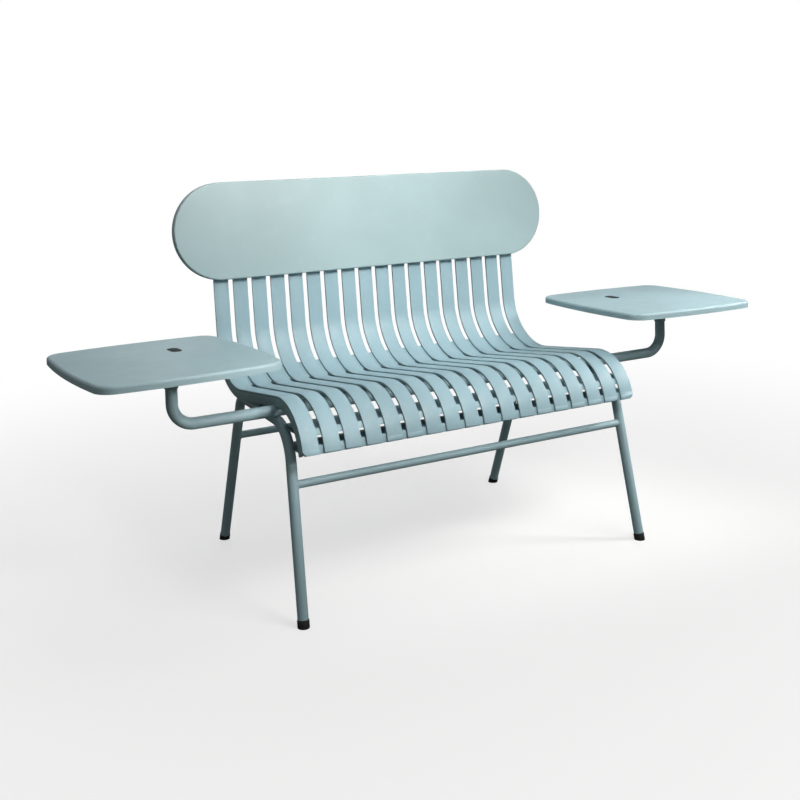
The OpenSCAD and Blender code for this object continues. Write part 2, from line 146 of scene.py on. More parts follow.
class Shader:
    """A material's node tree around one Principled shader, with short calls to add to it."""

    edge_samples = 6
    flat_match = 0.995
    sharp_match = 0.80

    # Places of the colour sockets on a mix node
    colour_inputs = (6, 7)
    colour_output = 2

    def __init__(self, name: str) -> None:
        """Start an empty material.

        Args:
            name: Name of the material.
        """
        self.material = bpy.data.materials.new(name)
        self.material.use_nodes = True
        self.tree = self.material.node_tree
        self.surface = self.tree.nodes["Principled BSDF"]
        self.place = self.node("ShaderNodeTexCoord").outputs["Object"]

    def node(self, kind: str, **settings: object) -> Node:
        """Add a node.

        Args:
            kind: Blender's type name of the node.
            settings: Attributes to set on it.

        Returns:
            The new node.
        """
        made = self.tree.nodes.new(kind)
        for key, value in settings.items():
            setattr(made, key, value)
        return made

    def link(self, source: Socket, target: Socket) -> None:
        """Join an output to an input."""
        self.tree.links.new(source, target)

    def noise(self, scale: float, detail: float = 2.0, roughness: float = 0.5) -> Socket:
        """Add a noise pattern in object space.

        Args:
            scale: Cells per metre.
            detail: Number of octaves.
            roughness: Weight of the finer octaves.

        Returns:
            The noise value, about 0.5 on average.
        """
        made = self.node("ShaderNodeTexNoise")
        made.inputs["Scale"].default_value = scale
        made.inputs["Detail"].default_value = detail
        made.inputs["Roughness"].default_value = roughness
        self.link(self.place, made.inputs["Vector"])
        return made.outputs["Fac"]

    def remap(self, source: Socket, low: float, high: float,
              to_low: float = 0.0, to_high: float = 1.0) -> Socket:
        """Map a range of values to another one, clamped.

        Args:
            source: Value to map.
            low: Start of the range read.
            high: End of the range read.
            to_low: Result at the start.
            to_high: Result at the end.

        Returns:
            The mapped value.
        """
        made = self.node("ShaderNodeMapRange")
        self.link(source, made.inputs["Value"])
        ends = {"From Min": low, "From Max": high, "To Min": to_low, "To Max": to_high}
        for key, value in ends.items():
            made.inputs[key].default_value = value
        return made.outputs["Result"]

    def math(self, operation: str, first: Socket, second: Socket | float) -> Socket:
        """Combine two values.

        Args:
            operation: Blender's name of the operation.
            first: First value.
            second: Second value or a number.

        Returns:
            The result.
        """
        made = self.node("ShaderNodeMath", operation=operation)
        self.link(first, made.inputs[0])
        if isinstance(second, (int, float)):
            made.inputs[1].default_value = second
        else:
            self.link(second, made.inputs[1])
        return made.outputs[0]

    def mix(self, factor: Socket, first: Socket | Colour, second: Socket | Colour) -> Socket:
        """Mix two colours.

        Args:
            factor: Share of the second colour.
            first: First colour.
            second: Second colour.

        Returns:
            The mixed colour.
        """
        made = self.node("ShaderNodeMix", data_type="RGBA")
        self.link(factor, made.inputs[0])
        for index, colour in zip(self.colour_inputs, (first, second)):
            if isinstance(colour, tuple):
                made.inputs[index].default_value = (*colour, 1.0)
            else:
                self.link(colour, made.inputs[index])
        return made.outputs[self.colour_output]

    def edges(self, radius: float) -> Socket:
        """Find the places within a small distance of an edge.

        Args:
            radius: Reach of the search.

        Returns:
            0 on flat faces, rising to 1 on sharp edges.
        """
        rounded = self.node("ShaderNodeBevel", samples=self.edge_samples)
        rounded.inputs["Radius"].default_value = radius
        true_normal = self.node("ShaderNodeNewGeometry").outputs["Normal"]
        compared = self.node("ShaderNodeVectorMath", operation="DOT_PRODUCT")
        self.link(rounded.outputs["Normal"], compared.inputs[0])
        self.link(true_normal, compared.inputs[1])
        return self.remap(compared.outputs["Value"], self.flat_match, self.sharp_match)

    def roughen(self, pattern: Socket, smoothest: float, roughest: float) -> None:
        """Let a noise pattern vary the roughness.

        Args:
            pattern: The noise value.
            smoothest: Roughness where it is low.
            roughest: Roughness where it is high.
        """
        varied = self.remap(pattern, low=0.3, high=0.7, to_low=smoothest, to_high=roughest)
        self.link(varied, self.surface.inputs["Roughness"])

    def bump(self, layers: Sequence[tuple[Socket, float, float]]) -> None:
        """Stack bump layers onto the shader's normal.

        Args:
            layers: Height, strength and depth of each layer.
        """
        before: Socket | None = None
        for height, strength, depth in layers:
            made = self.node("ShaderNodeBump")
            made.inputs["Strength"].default_value = strength
            made.inputs["Distance"].default_value = depth
            self.link(height, made.inputs["Height"])
            if before is not None:
                self.link(before, made.inputs["Normal"])
            before = made.outputs["Normal"]
        if before is not None:
            self.link(before, self.surface.inputs["Normal"])


@dataclass(frozen=True)
class PowderCoat:
    """Matt powder coat: an even colour with a fine pebbled skin and edges made paler by a painted
    highlight.

    The scales are in cells per metre, the depths and the reach in metres.
    """

    name: str
    colour: Colour
    roughness: float = 0.46
    smoother_by: float = 0.05
    rougher_by: float = 0.07
    mottle: float = 0.05
    deep_share: float = 1.6
    cloud_scale: float = 5.0
    patch_scale: float = 21.0
    speck_shade: float = 0.82
    speck_share: float = 0.35
    dust_scale: float = 38.0
    dust_share: float = 0.22
    pale_factor: float = 0.6
    dust_lift: float = 0.30
    # Painted highlight on the edges: how much paler, how strong and how far it reaches
    edge_highlight_lift: float = 0.36
    edge_highlight: float = 0.35
    edge_reach: float = 0.0016
    pebble: float = 0.22
    pebble_scale: float = 260.0
    pebble_depth: float = 0.00025
    grain_share: float = 0.7
    grain_scale: float = 1500.0
    grain_depth: float = 0.00008
    specular: float = 0.45

    def material(self) -> Material:
        """Build the node material.

        Returns:
            The material.
        """
        shader = Shader(self.name)
        inputs = shader.surface.inputs
        deep = toned(self.colour, 1 - self.deep_share * self.mottle)
        pale = toned(self.colour, 1 + self.mottle)
        broad = shader.remap(shader.noise(self.cloud_scale, detail=3.0), low=0.35, high=0.65)
        cloud = shader.mix(broad, deep, pale)
        grain = shader.noise(self.grain_scale, roughness=0.6)
        speck = shader.remap(grain, low=0.62, high=0.74, to_high=self.speck_share)
        speckled = shader.mix(speck, cloud, toned(self.colour, self.speck_shade))
        dust = shader.remap(shader.noise(self.dust_scale, detail=5.0, roughness=0.65),
                            low=0.56, high=0.78, to_high=self.dust_share)
        dusty = shader.mix(dust, speckled, toned(self.colour, self.pale_factor, self.dust_lift))
        # Painted highlight: edges are made paler, standing in for light caught on the rounded rims
        painted_edge_highlight = shader.math("MULTIPLY", shader.edges(self.edge_reach), self.edge_highlight)
        edge_highlight_colour = toned(self.colour, self.pale_factor, self.edge_highlight_lift)
        shader.link(shader.mix(painted_edge_highlight, dusty, edge_highlight_colour), inputs["Base Color"])
        shader.roughen(shader.noise(self.patch_scale, detail=4.0),
                       self.roughness - self.smoother_by, self.roughness + self.rougher_by)
        inputs["Specular IOR Level"].default_value = self.specular
        shader.bump(((shader.noise(self.pebble_scale), self.pebble, self.pebble_depth),
                     (grain, self.pebble * self.grain_share, self.grain_depth)))
        return shader.material


@dataclass(frozen=True)
class MouldedPlastic:
    """Dark moulded plastic or rubber with a fine grain and dusty scuffs.

    The scales are in cells per metre, the depth in metres.
    """

    name: str
    colour: Colour
    roughness: float = 0.55
    smoother_by: float = 0.08
    rougher_by: float = 0.1
    dark_factor: float = 0.8
    pale_factor: float = 1.3
    scuff: float = 0.25
    scuff_scale: float = 120.0
    scuff_lift: float = 0.09
    grain_scale: float = 1100.0
    grain_strength: float = 0.35
    grain_depth: float = 0.00015
    specular: float = 0.4

    def material(self) -> Material:
        """Build the node material.

        Returns:
            The material.
        """
        shader = Shader(self.name)
        inputs = shader.surface.inputs
        grain = shader.noise(self.grain_scale, detail=3.0, roughness=0.6)
        dark, pale = (toned(self.colour, factor) for factor in (self.dark_factor, self.pale_factor))
        scuffs = shader.remap(shader.noise(self.scuff_scale, detail=6.0, roughness=0.7),
                              low=0.55, high=0.75, to_high=self.scuff)
        grey = toned(self.colour, 1.0, self.scuff_lift)
        shader.link(shader.mix(scuffs, shader.mix(grain, dark, pale), grey), inputs["Base Color"])
        shader.roughen(grain, self.roughness - self.smoother_by, self.roughness + self.rougher_by)
        inputs["Specular IOR Level"].default_value = self.specular
        shader.bump(((grain, self.grain_strength, self.grain_depth),))
        return shader.material


# Shared ways to finish a mesh


@dataclass(frozen=True)
class Dresser:
    """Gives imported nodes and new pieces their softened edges, smooth shading and finish."""

    smooth_angle: float = math.radians(32)
    segments: int = 2

    def shading(self) -> bpy.types.GeometryNodeTree:
        """Node group that shades smooth, apart from edges sharper than the limit.

        Returns:
            The group, made once.
        """
        name = "smooth_but_for_sharp_edges"
        if name in bpy.data.node_groups:
            return bpy.data.node_groups[name]
        group = bpy.data.node_groups.new(name, "GeometryNodeTree")
        group.interface.new_socket("Geometry", in_out="INPUT", socket_type="NodeSocketGeometry")
        group.interface.new_socket("Geometry", in_out="OUTPUT", socket_type="NodeSocketGeometry")
        start = group.nodes.new("NodeGroupInput")
        end = group.nodes.new("NodeGroupOutput")
        angle = group.nodes.new("GeometryNodeInputMeshEdgeAngle")
        sharper = group.nodes.new("FunctionNodeCompare")
        sharper.data_type = "FLOAT"
        sharper.operation = "GREATER_THAN"
        sharper.inputs[1].default_value = self.smooth_angle
        faces = group.nodes.new("GeometryNodeSetShadeSmooth")
        faces.domain = "FACE"
        faces.inputs["Shade Smooth"].default_value = True
        creases = group.nodes.new("GeometryNodeSetShadeSmooth")
        creases.domain = "EDGE"
        creases.inputs["Shade Smooth"].default_value = False
        for source, target in (
            (start.outputs[0], faces.inputs["Geometry"]),
            (faces.outputs[0], creases.inputs["Geometry"]),
            (angle.outputs["Unsigned Angle"], sharper.inputs[0]),
            (sharper.outputs[0], creases.inputs["Selection"]),
            (creases.outputs[0], end.inputs[0]),
        ):
            group.links.new(source, target)
        return group

    def soften(self, piece: Piece, width: float) -> None:
        """Join loose triangles, round the sharp edges and shade the rest smooth.

        Args:
            piece: Object to finish.
            width: Width of the rounded edge, 0 for none.
        """
        piece.modifiers.new("join", "WELD").merge_threshold = SAME_PACKED_POINT
        if width:
            bevel = piece.modifiers.new("round", "BEVEL")
            bevel.width = width
            bevel.segments = self.segments
            bevel.limit_method = "ANGLE"
            bevel.angle_limit = self.smooth_angle
            bevel.use_clamp_overlap = True
        piece.modifiers.new("shade", "NODES").node_group = self.shading()

    def coat(self, piece: Piece, material: Material) -> None:
        """Give a piece one material."""
        piece.data.materials.clear()
        piece.data.materials.append(material)

    def dress_node(self, piece: Piece, material: Material, width: float) -> None:
        """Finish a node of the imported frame.

        Args:
            piece: The node's object.
            material: Its finish.
            width: Width of its rounded edges.
        """
        self.coat(piece, material)
        self.soften(piece, width)
        LOG.info("dressed %s", piece.name)

    def add_piece(self, name: str, mesh: Mesh, material: Material,
                  stands_for: Sequence[str] = ()) -> None:
        """Turn a finished bmesh into a piece of the bench.

        Args:
            name: Name of the new object.
            mesh: The mesh, which is freed.
            material: Its finish.
            stands_for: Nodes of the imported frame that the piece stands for.
        """
        data = bpy.data.meshes.new(name)
        mesh.to_mesh(data)
        mesh.free()
        piece = bpy.data.objects.new(name, data)
        bpy.context.scene.collection.objects.link(piece)
        self.coat(piece, material)
        piece.modifiers.new("shade", "NODES").node_group = self.shading()
        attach(piece, "root")
        if stands_for:
            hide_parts(*stands_for)
        LOG.info("built %s with %d faces", name, len(data.polygons))


# Outlines and folded sheets


def points_of(made: Sequence[object]) -> list[bmesh.types.BMVert]:
    """Pick the points from what a mesh operation made.

    Args:
        made: Points, edges and faces.

    Returns:
        The points alone.
    """
    return [item for item in made if isinstance(item, bmesh.types.BMVert)]


def round_edges(mesh: Mesh, edges: Sequence[bmesh.types.BMEdge], width: float,
                segments: int) -> None:
    """Round edges of a mesh.

    Args:
        mesh: The mesh.
        edges: Its edges to round.
        width: Width of the rounding on each side of an edge.
        segments: Number of facets across it.
    """
    bmesh.ops.bevel(mesh, geom=list(edges), offset=width, offset_type="OFFSET", affect="EDGES",
                    segments=segments, profile=0.5, material=-1)


def add_mesh(mesh: Mesh, drawn: Mesh, place: Matrix) -> None:
    """Put a closed drawn mesh into another mesh.

    Args:
        mesh: Mesh that gets it.
        drawn: The drawn mesh, which is freed.
        place: Where it goes.
    """
    bmesh.ops.recalc_face_normals(drawn, faces=drawn.faces)
    bmesh.ops.transform(drawn, matrix=place, verts=drawn.verts)
    data = bpy.data.meshes.new("drawn")
    drawn.to_mesh(data)
    drawn.free()
    mesh.from_mesh(data)
    bpy.data.meshes.remove(data)


class Outline:
    """A closed outline in the XY plane, drawn by spinning its last point about centres."""

    def __init__(self, start: Vector) -> None:
        """Put down the first point.

        Args:
            start: The first point.
        """
        self.mesh = bmesh.new()
        self.last = self.mesh.verts.new(start)

    def line(self, step: Vector) -> None:
        """Draw a straight edge.

        Args:
            step: From the last point to the next.
        """
        made = bmesh.ops.extrude_vert_indiv(self.mesh, verts=[self.last])
        self.last = made["verts"][0]
        self.last.co += step

    def arc(self, centre: Vector, angle: float, steps: int) -> None:
        """Draw an arc.

        Args:
            centre: Centre of the arc.
            angle: Its sweep, anticlockwise.
            steps: Number of edges.
        """
        made = bmesh.ops.spin(self.mesh, geom=[self.last], cent=centre, axis=(0, 0, 1),
                              angle=angle, steps=steps)
        self.last = points_of(made["geom_last"])[0]

    def close(self) -> Mesh:
        """Join the ends and fill the outline with one upward face.

        Returns:
            The mesh with the face.
        """
        bmesh.ops.remove_doubles(self.mesh, verts=self.mesh.verts, dist=SAME_POINT)
        bmesh.ops.edgenet_fill(self.mesh, edges=self.mesh.edges)
        bmesh.ops.recalc_face_normals(self.mesh, faces=self.mesh.faces)
        for face in self.mesh.faces:
            if face.normal.z < 0:
                face.normal_flip()
        return self.mesh


@dataclass(frozen=True)
class FoldedTray:
    """A sheet folded down at its outline, with a rounded fold and a wall."""

    depth: float
    wall: float
    fold: float
    fold_segments: int = 6

    @staticmethod
    def widest(mesh: Mesh) -> bmesh.types.BMFace:
        """Find the mesh's largest face."""
        return max(mesh.faces, key=lambda face: face.calc_area())

    def build(self, mesh: Mesh) -> Mesh:
        """Fold a flat face into a tray, with its face at z = 0 and its rim below.

        Args:
            mesh: Mesh with one upward face.

        Returns:
            The same mesh, folded.
        """
        rim = [edge for edge in mesh.edges if edge.is_boundary]
        skirt = bmesh.ops.extrude_edge_only(mesh, edges=rim)["geom"]
        bmesh.ops.translate(mesh, verts=points_of(skirt), vec=(0, 0, -self.depth))
        round_edges(mesh, self.widest(mesh).edges, self.fold, self.fold_segments)
        bmesh.ops.recalc_face_normals(mesh, faces=mesh.faces)
        if self.widest(mesh).normal.z < 0:
            bmesh.ops.reverse_faces(mesh, faces=mesh.faces)
        bmesh.ops.solidify(mesh, geom=mesh.faces, thickness=self.wall)
        return mesh


# Camera and studio


@dataclass(frozen=True)
class PhotoCamera:
    """The camera that took the photograph, solved from the bench's own edges, angles in degrees."""

    place: Triple = (-1.36887, -2.22875 - CREST_TO_FRAME, 1.01972)
    azimuth: float = -29.152
    elevation: float = 3.007
    roll: float = -1.659
    focal_px: float = 1094.4
    centre_row_px: float = 200.0
    frame_px: float = 800.0
    sensor_mm: float = 36.0

    def build(self) -> None:
        """Make the camera and set it as the scene's."""
        data = bpy.data.cameras.new("photo_camera")
        data.sensor_width = self.sensor_mm
        data.lens = self.focal_px / self.frame_px * self.sensor_mm
        data.shift_y = (self.centre_row_px - self.frame_px / 2) / self.frame_px
        data.dof.use_dof = False
        azimuth = math.radians(self.azimuth)
        elevation = math.radians(self.elevation)
        level = math.cos(elevation)
        back = Vector((math.sin(azimuth) * level, -math.cos(azimuth) * level, math.sin(elevation)))
        rolled = Matrix.Rotation(math.radians(self.roll), 3, back)
        right = rolled @ Vector((math.cos(azimuth), math.sin(azimuth), 0))
        up = back.cross(right)
        matrix = Matrix((right, up, back)).transposed().to_4x4()
        matrix.translation = Vector(self.place)
        camera = bpy.data.objects.new("photo_camera", data)
        camera.matrix_world = matrix
        bpy.context.scene.collection.objects.link(camera)
        bpy.context.scene.camera = camera
        LOG.info("camera at %s", tuple(round(value, 3) for value in matrix.translation))


@dataclass(frozen=True)
class Lamp:
    """A square soft light."""

    name: str
    place: Triple
    aim: Triple
    size: float
    watts: float
    colour: Colour = (1.0, 1.0, 1.0)
    spread: float = math.pi

    def build(self) -> None:
        """Make the light."""
        data = bpy.data.lights.new(self.name, "AREA")
        data.size = self.size
        data.energy = self.watts
        data.spread = self.spread
        data.color = self.colour
        lamp = bpy.data.objects.new(self.name, data)
        lamp.location = self.place
        way = Vector(self.aim) - Vector(self.place)
        lamp.rotation_euler = way.to_track_quat("-Z", "Y").to_euler()
        bpy.context.scene.collection.objects.link(lamp)


@dataclass(frozen=True)
class Studio:
    """Pale floor, white surroundings and soft lights.

    The floor fades from near_white to far_white between two distances from its middle.
    """

    floor_half: float = 14.0
    floor_colour: Colour = (0.94, 0.94, 0.94)
    floor_shade: Colour = (0.10, 0.11, 0.09)
    floor_roughness: float = 0.9
    fade_start: float = 0.5
    fade_end: float = 2.8
    near_white: float = 0.60
    far_white: float = 1.0
    ambient: float = 0.28
    lamps: tuple[Lamp, ...] = (
        Lamp("key", place=(1.3, -2.5, 3.1), aim=(0.1, 0.1, 0.6), size=1.4, watts=50.0,
             colour=(1.0, 0.985, 0.96)),
        Lamp("top", place=(-0.1, -0.4, 3.3), aim=(0.0, 0.0, 0.5), size=1.8, watts=15.0),
        Lamp("centre", place=(0.15, -1.7, 1.75), aim=(0.0, 0.2, 0.74), size=0.5, watts=3.8,
             colour=WARM_WHITE, spread=math.radians(56)),
        Lamp("right", place=(1.55, -0.75, 1.30), aim=(0.76, -0.22, 0.45), size=0.3, watts=1.3,
             colour=WARM_WHITE, spread=math.radians(44)),
        Lamp("arm", place=(0.3, -1.5, 0.95), aim=(-0.64, -0.18, 0.46), size=0.15, watts=0.26,
             colour=WARM_WHITE, spread=math.radians(24)),
        Lamp("rim", place=(0.9, 3.0, 2.6), aim=(0.0, 0.2, 0.6), size=1.6, watts=16.0),
    )

    def build(self) -> None:
        """Make floor, surroundings and lights."""
        self.floor()
        self.surroundings()
        for lamp in self.lamps:
            lamp.build()

    def floor(self) -> None:
        """Make the floor, which turns to plain white away from the bench."""
        mesh = bmesh.new()
        bmesh.ops.create_grid(mesh, x_segments=1, y_segments=1, size=self.floor_half)
        data = bpy.data.meshes.new("floor")
        mesh.to_mesh(data)
        mesh.free()
        floor = bpy.data.objects.new("floor", data)
        bpy.context.scene.collection.objects.link(floor)
        data.materials.append(self.floor_material())

    def floor_material(self) -> Material:
        """Build the floor's material, pale for the camera and darker for all other rays.

        Returns:
            The material.
        """
        shader = Shader("studio_floor")
        inputs = shader.surface.inputs
        inputs["Roughness"].default_value = self.floor_roughness
        inputs["Specular IOR Level"].default_value = 0.0
        white = shader.node("ShaderNodeEmission")
        white.inputs["Color"].default_value = WHITE
        far = shader.node("ShaderNodeVectorMath", operation="LENGTH")
        shader.link(shader.place, far.inputs[0])
        fade = shader.remap(far.outputs["Value"], self.fade_start, self.fade_end,
                            self.near_white, self.far_white)
        fade.node.interpolation_type = "SMOOTHSTEP"
        seen = shader.node("ShaderNodeLightPath").outputs["Is Camera Ray"]
        shader.link(shader.mix(seen, self.floor_shade, self.floor_colour), inputs["Base Color"])
        mixed = shader.node("ShaderNodeMixShader")
        for source, target in (
            (shader.math("MULTIPLY", seen, fade), mixed.inputs[0]),
            (shader.surface.outputs[0], mixed.inputs[1]),
            (white.outputs[0], mixed.inputs[2]),
            (mixed.outputs[0], shader.tree.nodes["Material Output"].inputs["Surface"]),
        ):
            shader.link(source, target)
        return shader.material

    def surroundings(self) -> None:
        """Make the world, white where the camera sees it and a dim light on everything else."""
        world = bpy.data.worlds.new("studio")
        world.use_nodes = True
        tree = world.node_tree
        background = tree.nodes["Background"]
        background.inputs["Color"].default_value = WHITE
        rays = tree.nodes.new("ShaderNodeLightPath")
        level = tree.nodes.new("ShaderNodeMapRange")
        level.inputs["To Min"].default_value = self.ambient
        level.inputs["To Max"].default_value = 1.0
        tree.links.new(rays.outputs["Is Camera Ray"], level.inputs["Value"])
        tree.links.new(level.outputs["Result"], background.inputs["Strength"])
        bpy.context.scene.world = world


# The bench


@dataclass(frozen=True)
class Finishes:
    """The bench's materials."""

    slats: Material = field(default_factory=lambda: PowderCoat(
        "slat_powder_coat", painted(145, 174, 184), mottle=0.04).material())
    panel: Material = field(default_factory=lambda: PowderCoat(
        "panel_powder_coat", painted(164, 187, 190), mottle=0.03, roughness=0.42).material())
    frame: Material = field(default_factory=lambda: PowderCoat(
        "tube_powder_coat", painted(149, 177, 185), mottle=0.04).material())
    tables: Material = field(default_factory=lambda: PowderCoat(
        "table_powder_coat", painted(155, 182, 189), mottle=0.03).material())
    inlay: Material = field(default_factory=lambda: MouldedPlastic(
        "inlay_plastic", painted(34, 41, 44), roughness=0.6, scuff=0.08, specular=0.1).material())
    caps: Material = field(default_factory=lambda: MouldedPlastic(
        "foot_cap_rubber", painted(32, 33, 35)).material())
    # The fasteners get a stronger painted highlight on their edges
    fasteners: Material = field(default_factory=lambda: PowderCoat(
        "fastener_powder_coat", painted(140, 172, 180), edge_highlight=0.5).material())


@dataclass(frozen=True)
class SlattedSeat:
    """The eighteen bent slats, and the beam, rails and ribs that carry them."""

    slat_count: int = 18
    slat_round: float = 0.0011
    rail_round: float = 0.0012
    lip_round: float = 0.0036
    lip_segments: int = 5
    corner_round: float = 0.015
    corner_segments: int = 10
    rib_end_round: float = 0.012
    rib_end_segments: int = 8
    edge_reach: float = 0.0005
    corner_reach: float = 0.003
    carriers: tuple[str, ...] = ("front_rail", "mid_rail", "rear_rail", "front_beam",
                                 "left_rib", "right_rib", "panel_rail_lower", "panel_rail_upper")

    def build(self, nodes: Nodes, finishes: Finishes, dresser: Dresser) -> None:
        """Finish the slats and what carries them.

        Args:
            nodes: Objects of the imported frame.
            finishes: The bench's materials.
            dresser: Finishes the meshes.
        """
        for number in range(1, self.slat_count + 1):
            slat = nodes[f"slat_{number:02d}"]
            if number == 1:
                self.round_corner(slat, Side.LEFT)
            elif number == self.slat_count:
                self.round_corner(slat, Side.RIGHT)
            else:
                self.round_front(slat, self.lip_round, self.lip_segments)
            dresser.dress_node(slat, finishes.slats, self.slat_round)
        for side in Side:
            self.round_front(nodes[f"{side.word}_rib"], self.rib_end_round, self.rib_end_segments)
        for name in self.carriers:
            dresser.dress_node(nodes[name], finishes.frame, self.rail_round)

    def round_edge(self, piece: Piece, edge: Sequence[int], radius: float,
                   segments: int) -> None:
        """Round one chosen edge of a piece.

        Args:
            piece: The piece.
            edge: Indices of the edge's points.
            radius: Radius of the rounding.
            segments: Number of facets across it.
        """
        piece.vertex_groups.new(name="edge").add(edge, 1.0, "REPLACE")
        piece.modifiers.new("join_edge", "WELD").merge_threshold = SAME_PACKED_POINT
        bevel = piece.modifiers.new("round_edge", "BEVEL")
        bevel.width = radius
        bevel.segments = segments
        bevel.limit_method = "VGROUP"
        bevel.vertex_group = "edge"
        bevel.use_clamp_overlap = False

    def round_front(self, piece: Piece, radius: float, segments: int) -> None:
        """Round the foremost edge of a slat or rib, which lies at its lower end.

        Args:
            piece: The slat or rib.
            radius: Radius of the rounding.
            segments: Number of facets across it.
        """
        points = piece.data.vertices
        foremost = min(point.co.y for point in points) + self.edge_reach
        edge = [point.index for point in points if point.co.y < foremost]
        self.round_edge(piece, edge, radius, segments)

    def round_corner(self, slat: Piece, side: Side) -> None:
        """Round the lower outer corner of an end slat.

        Args:
            slat: The end slat.
            side: Its side of the bench.
        """
        points = slat.data.vertices
        outer = max(point.co.x * side.value for point in points) - self.edge_reach
        low = min(point.co.z for point in points) + self.corner_reach
        edge = [point.index for point in points if point.co.x * side.value > outer and point.co.z < low]
        self.round_edge(slat, edge, self.corner_round, self.corner_segments)


@dataclass(frozen=True)
class BackPanel:
    """The oblong panel in front of the slats, a tray with a softly folded edge."""

    length: float = 1.104
    height: float = 0.245
    depth: float = 0.020
    wall: float = 0.002
    fold: float = 0.0040
    lean: float = math.radians(5)
    middle: Triple = (0.0, 0.394223 - CREST_TO_FRAME, 0.809767)
    end_steps: int = 48

    def placement(self) -> Matrix:
        """Where the panel's front face lies.

        Returns:
            Matrix from the flat tray to the leaning panel.
        """
        along = Vector((1, 0, 0))
        up = Vector((0, math.sin(self.lean), math.cos(self.lean)))
        front = along.cross(up)
        matrix = Matrix((along, up, front)).transposed().to_4x4()
        matrix.translation = Vector(self.middle) + front * self.depth
        return matrix

    def build(self, finishes: Finishes, dresser: Dresser) -> None:
        """Build the panel.

        Args:
            finishes: The bench's materials.
            dresser: Finishes the meshes.
        """
        radius = self.height / 2
        half = self.length / 2 - radius
        outline = Outline(Vector((half, -radius, 0)))
        outline.arc(Vector((half, 0, 0)), math.pi, self.end_steps)
        outline.line(Vector((-2 * half, 0, 0)))
        outline.arc(Vector((-half, 0, 0)), math.pi, self.end_steps)
        outline.line(Vector((2 * half, 0, 0)))
        mesh = FoldedTray(self.depth, self.wall, self.fold).build(outline.close())
        bmesh.ops.transform(mesh, matrix=self.placement(), verts=mesh.verts)
        dresser.add_piece("back_panel_sheet", mesh, finishes.panel, ["back_panel"])


@dataclass(frozen=True)
class Supports:
    """The bent tubes and stretchers under the seat, with their foot caps, sockets and plates."""

    fitting_round: float = 0.0008
    cap_round: float = 0.0018
    tubes: tuple[str, ...] = ("left_leg_frame", "right_leg_frame", "front_stretcher",
                              "rear_stretcher", "table_tube")

    def build(self, nodes: Nodes, finishes: Finishes, dresser: Dresser) -> None:
        """Finish the supports.

        Args:
            nodes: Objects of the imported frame.
            finishes: The bench's materials.
            dresser: Finishes the meshes.
        """
        for name in self.tubes:
            dresser.dress_node(nodes[name], finishes.frame, 0.0)
        for side in Side:
            for fitting in ("socket", "plate"):
                node = nodes[f"{side.word}_table_{fitting}"]
                dresser.dress_node(node, finishes.frame, self.fitting_round)
            for end in ("front", "rear"):
                node = nodes[f"{end}_{side.word}_foot_cap"]
                dresser.dress_node(node, finishes.caps, self.cap_round)


@dataclass(frozen=True)
class SideTable:
    """One table top, a folded tray with four bowed sides."""

    side: Side
    middle: Triple = (0.684, 0.081 - CREST_TO_FRAME, 0.569)
    turn: float = math.radians(-2.5)
    width: float = 0.420
    length: float = 0.446
    side_radius: float = 1.600
    corner_radius: float = 0.042
    depth: float = 0.017
    wall: float = 0.002
    fold: float = 0.0068
    side_steps: int = 20
    corner_steps: int = 16

    def outline(self) -> Mesh:
        """Draw the outline from four flat arcs and four corner arcs.

        Returns:
            Mesh with one upward face.
        """
        back_x = self.side_radius - self.width / 2
        back_y = self.side_radius - self.length / 2
        reach = self.side_radius - self.corner_radius
        span = math.hypot(back_x, back_y)
        rise = math.sqrt(reach ** 2 - span ** 2 / 4) / span
        corner = Vector((rise * back_y - back_x / 2, rise * back_x - back_y / 2, 0))
        end_half = math.asin(corner.y / reach)
        side_half = math.asin(corner.x / reach)
        turn = math.pi / 2 - end_half - side_half
        outline = Outline(Vector((self.side_radius * math.cos(end_half) - back_x,
                                  -self.side_radius * math.sin(end_half), 0)))
        for sign in (1, -1):
            outline.arc(Vector((-sign * back_x, 0, 0)), 2 * end_half, self.side_steps)
            outline.arc(sign * corner, turn, self.corner_steps)
            outline.arc(Vector((0, -sign * back_y, 0)), 2 * side_half, self.side_steps)
            outline.arc(sign * Vector((-corner.x, corner.y, 0)), turn, self.corner_steps)
        return outline.close()

    def placement(self) -> Matrix:
        """Where the table's top face lies.

        Returns:
            Matrix from the flat tray to the table.
        """
        matrix = Matrix.Rotation(self.turn * self.side.value, 4, "Z")
        out, back, up = self.middle
        matrix.translation = Vector((out * self.side.value, back, up))
        return matrix

    def build(self, finishes: Finishes, dresser: Dresser) -> None:
        """Build the table top.

        Args:
            finishes: The bench's materials.
            dresser: Finishes the meshes.
        """
        mesh = FoldedTray(self.depth, self.wall, self.fold).build(self.outline())
        bmesh.ops.transform(mesh, matrix=self.placement(), verts=mesh.verts)
        dresser.add_piece(f"{self.side.word}_table_sheet", mesh, finishes.tables,
                          [f"{self.side.word}_table_top"])


